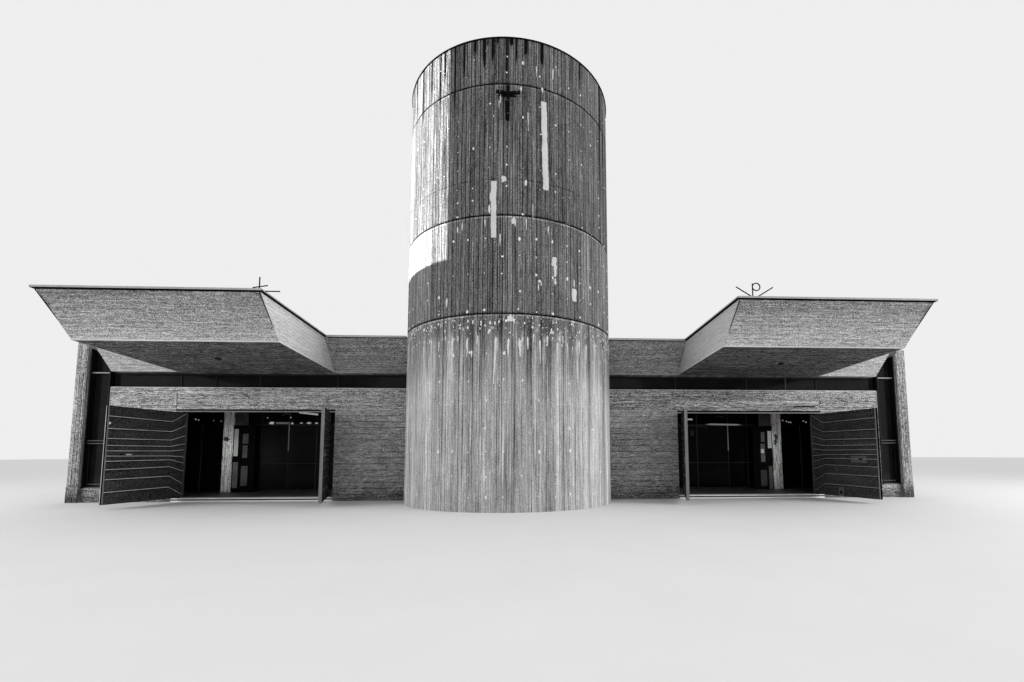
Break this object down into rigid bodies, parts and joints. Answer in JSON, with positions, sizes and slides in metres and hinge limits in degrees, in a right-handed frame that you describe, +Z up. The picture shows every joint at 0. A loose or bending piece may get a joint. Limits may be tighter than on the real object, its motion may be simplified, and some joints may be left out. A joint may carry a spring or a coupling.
{
  "type": "modern church building",
  "caption": "Low concrete church with a round tower, deep inclined fascias, cantilevered canopies and paired pivot doors.",
  "frame": {"origin": "middle of the footprint at ground level", "axes": "+X to the right seen from the entrance front, +Y from the front to the back, +Z up"},
  "size_m": [24.84, 21.46, 11.67],
  "materials": {
    "concrete": "board-marked grey concrete",
    "drum_concrete": "grey concrete with upright board marks",
    "pale_metal": "dull flashing and frame metal",
    "dark_metal": "dark weathered metal",
    "door_cladding": "dark painted door facing",
    "glazing": "dark window glass"
  },
  "bodies": {
    "building": {"tower_lift_1": "drum_concrete", "tower_lift_2": "drum_concrete", "tower_lift_3": "drum_concrete", "tower_lift_4": "drum_concrete", "tower_roof": "concrete", "tower_rim": "dark_metal", "tower_cross": "dark_metal", "left_front_wall_inner": "concrete", "left_door_lintel": "concrete", "left_front_wall_outer": "concrete", "left_side_wall": "concrete", "left_light_slot_roof": "concrete", "left_fascia_inner": "concrete", "left_fascia_outer": "concrete", "left_canopy_fascia": "concrete", "left_canopy_slab": "concrete", "left_front_column": "concrete", "left_back_column": "concrete", "left_threshold": "concrete", "left_canopy_coping": "pale_metal", "left_head_frame": "pale_metal", "left_front_glazing": "glazing", "left_lobby_screen": "glazing", "right_front_wall_inner": "concrete", "right_door_lintel": "concrete", "right_front_wall_outer": "concrete", "right_side_wall": "concrete", "right_light_slot_roof": "concrete", "right_fascia_inner": "concrete", "right_fascia_outer": "concrete", "right_canopy_fascia": "concrete", "right_canopy_slab": "concrete", "right_front_column": "concrete", "right_back_column": "concrete", "right_threshold": "concrete", "right_canopy_coping": "pale_metal", "right_head_frame": "pale_metal", "right_front_glazing": "glazing", "right_lobby_screen": "glazing", "back_wall": "concrete", "floor_slab": "concrete", "roof_slab": "concrete", "back_fascia": "concrete", "left_back_glazing": "glazing", "right_back_glazing": "glazing", "right_roof_monogram": "dark_metal", "left_roof_cross": "dark_metal"},
    "left_inner_leaf": {"left_inner_leaf": "door_cladding"},
    "left_outer_leaf": {"left_outer_leaf": "door_cladding"},
    "right_inner_leaf": {"right_inner_leaf": "door_cladding"},
    "right_outer_leaf": {"right_outer_leaf": "door_cladding"}
  },
  "joints": [
    {"name": "left_inner_leaf_pivot", "type": "hinge", "parent": "building", "child": "left_inner_leaf", "pos_m": [-5.3, -6.275, 0.115], "axis": [0, 0, -1], "range_deg": [0, 107]},
    {"name": "left_outer_leaf_pivot", "type": "hinge", "parent": "building", "child": "left_outer_leaf", "pos_m": [-9.47, -6.275, 0.115], "axis": [0, 0, 1], "range_deg": [0, 102]},
    {"name": "right_inner_leaf_pivot", "type": "hinge", "parent": "building", "child": "right_inner_leaf", "pos_m": [5.3, -6.275, 0.115], "axis": [0, 0, 1], "range_deg": [0, 107]},
    {"name": "right_outer_leaf_pivot", "type": "hinge", "parent": "building", "child": "right_outer_leaf", "pos_m": [9.47, -6.275, 0.115], "axis": [0, 0, -1], "range_deg": [0, 102]}
  ]
}
